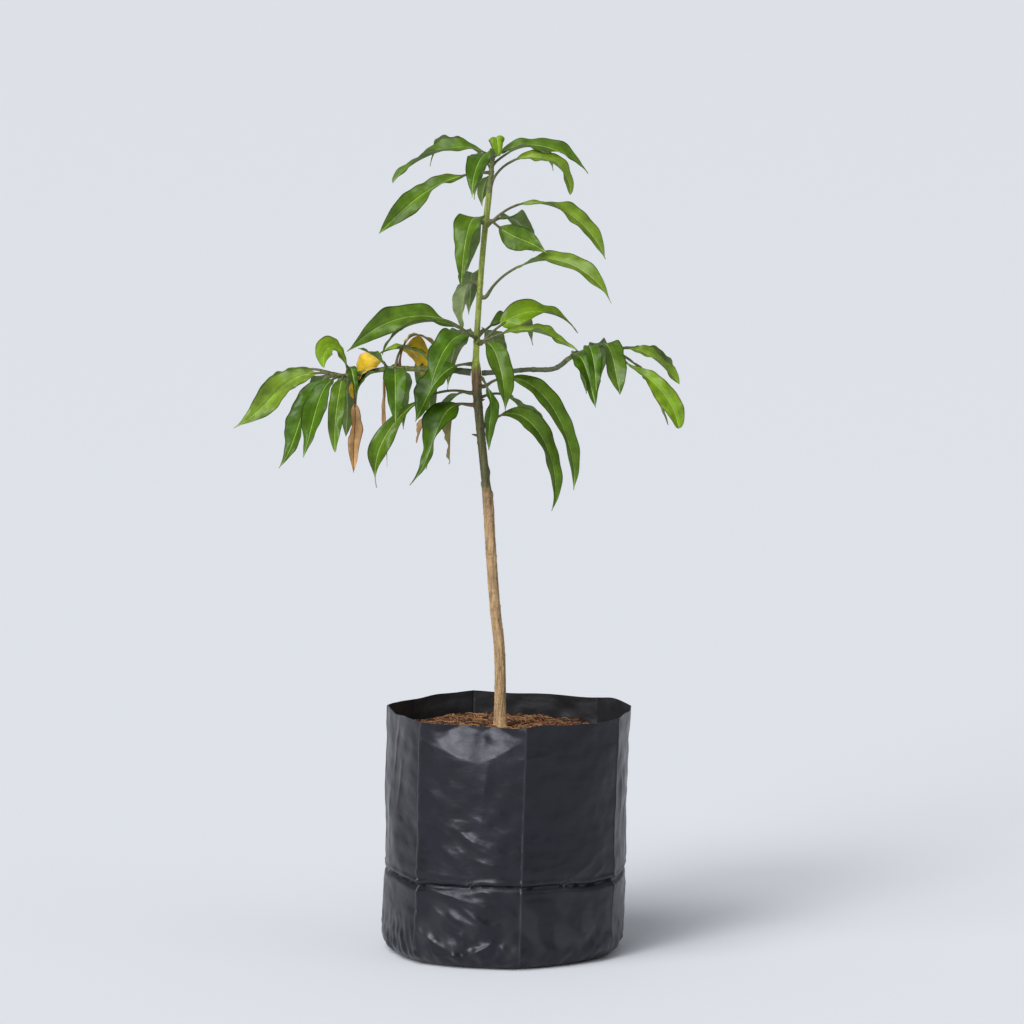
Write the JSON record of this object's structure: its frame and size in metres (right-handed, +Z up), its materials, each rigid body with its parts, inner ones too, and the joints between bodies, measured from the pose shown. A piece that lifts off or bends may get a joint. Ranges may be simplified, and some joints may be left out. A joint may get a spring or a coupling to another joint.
{
  "type": "mango tree sapling",
  "caption": "Young grafted mango tree with long drooping leaves on a slender trunk and two side shoots, standing in a black film grow bag filled with potting mix.",
  "frame": {"origin": "middle of the grow bag's flat underside, on the floor", "axes": "+Z up along the trunk, +X to the right and -Y towards someone who looks at the front"},
  "size_m": [0.4807, 0.2592, 0.8827],
  "materials": {
    "film": "thin black polythene film, creased and semi-glossy",
    "potting_mix": "loose brown coir crumb, matt",
    "bark": "thin young bark, tan below the graft and olive above it",
    "green_bark": "smooth green young bark with brown flecks",
    "leaf": "leathery green leaf with a waxy shine",
    "leaf_yellow": "ageing leaf turned yellow",
    "leaf_dry": "dead leaf, dry and tan"
  },
  "bodies": {
    "root": {"grow_bag": "film", "potting_mix": "potting_mix", "trunk": "bark", "right_bough": "green_bark", "left_bough": "green_bark", "tip_leaves": "leaf", "upper_left_leaves": "leaf", "upper_right_leaves": "leaf", "upper_back_leaves": "leaf", "middle_left_leaves": "leaf", "middle_right_leaves": "leaf", "whorl_left_leaves": "leaf", "whorl_front_leaves": "leaf", "whorl_right_leaves": "leaf", "whorl_hanging_leaf": "leaf", "whorl_back_leaves": "leaf", "node_left_leaf": "leaf", "node_hanging_leaf": "leaf", "lower_left_leaf": "leaf", "lowest_left_leaves": "leaf", "lower_right_leaf": "leaf", "lowest_right_leaf": "leaf", "lower_back_leaves": "leaf", "right_shoot_leaves": "leaf", "left_shoot_leaves": "leaf"}
  },
  "joints": []
}
